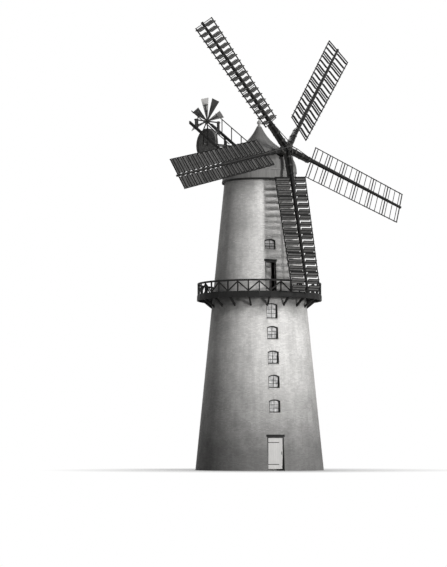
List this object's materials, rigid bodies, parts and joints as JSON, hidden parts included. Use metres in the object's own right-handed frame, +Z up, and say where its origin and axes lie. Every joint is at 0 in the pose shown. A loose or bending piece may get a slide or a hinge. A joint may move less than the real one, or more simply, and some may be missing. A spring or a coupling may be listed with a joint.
{
  "type": "five-sailed tower windmill",
  "caption": "Battered round tower mill with a stage, an ogee cap that turns, shuttered sails on an iron cross and a fantail.",
  "frame": {"origin": "middle of the round tower on the ground", "axes": "+Z up along the tower's axis, -Y the side the windshaft and sails face, +X to the right seen from the sails"},
  "size_m": [20.1408, 13.3734, 30.7053],
  "materials": {
    "brick": "matte",
    "floor_boards": "matte",
    "oak": "matte",
    "tarred_timber": "matte",
    "white_paint": "satin",
    "dark_paint": "satin",
    "glass": "gloss",
    "stone": "matte",
    "cap_boards": "matte",
    "iron": "satin",
    "sail_timber": "satin",
    "shutter_cloth": "matte",
    "fan_boards": "satin",
    "wheel_timber": "matte"
  },
  "bodies": {
    "tower": {"door_frames": "dark_paint", "door_lintels": "dark_paint", "doors": "white_paint", "stage_bottom_rail": "tarred_timber", "stage_braces": "tarred_timber", "stage_deck": "tarred_timber", "stage_joists": "tarred_timber", "stage_posts": "tarred_timber", "stage_rim": "tarred_timber", "stage_struts": "tarred_timber", "stage_top_rail": "tarred_timber", "tower_curb": "oak", "tower_floors": "floor_boards", "tower_wall_back": "brick", "tower_wall_front": "brick", "tower_wall_left": "brick", "tower_wall_right": "brick", "window_frames": "white_paint", "window_glass": "glass", "window_sills": "stone"},
    "cap": {"cap_beams": "oak", "cap_finial": "white_paint", "cap_ring": "oak", "cap_roof": "cap_boards", "cap_sheers": "oak", "cap_skirt": "cap_boards", "fan_bearings": "iron", "fan_handrails": "tarred_timber", "fan_posts": "tarred_timber", "fan_spars": "tarred_timber", "fan_steps": "tarred_timber", "shaft_bearings": "iron", "wheel_hangers": "iron"},
    "sails": {"sail_bars": "sail_timber", "sail_clamps": "iron", "sail_cross": "iron", "sail_hemlaths": "sail_timber", "sail_shutters": "shutter_cloth", "sail_whips": "sail_timber", "striking_gear": "iron", "windshaft": "iron"},
    "fan": {"fan_blades": "fan_boards", "fan_spindle": "iron"},
    "chain_wheel": {"chain_wheel": "wheel_timber"}
  },
  "joints": [
    {"name": "cap_turn", "type": "hinge", "parent": "tower", "child": "cap", "pos_m": [0, 0, 20], "axis": [0, 0, 1], "continuous": true},
    {"name": "sails_turn", "type": "hinge", "parent": "cap", "child": "sails", "pos_m": [0, -3.1, 21.85], "axis": [0, -0.9703, 0.2419], "continuous": true},
    {"name": "fan_turn", "type": "hinge", "parent": "cap", "child": "fan", "pos_m": [0, 5.87, 24.84], "axis": [1, 0, 0], "continuous": true},
    {"name": "chain_wheel_turn", "type": "hinge", "parent": "cap", "child": "chain_wheel", "pos_m": [0, 5.09, 23.03], "axis": [1, 0, 0], "range_deg": [-90, 90]}
  ]
}
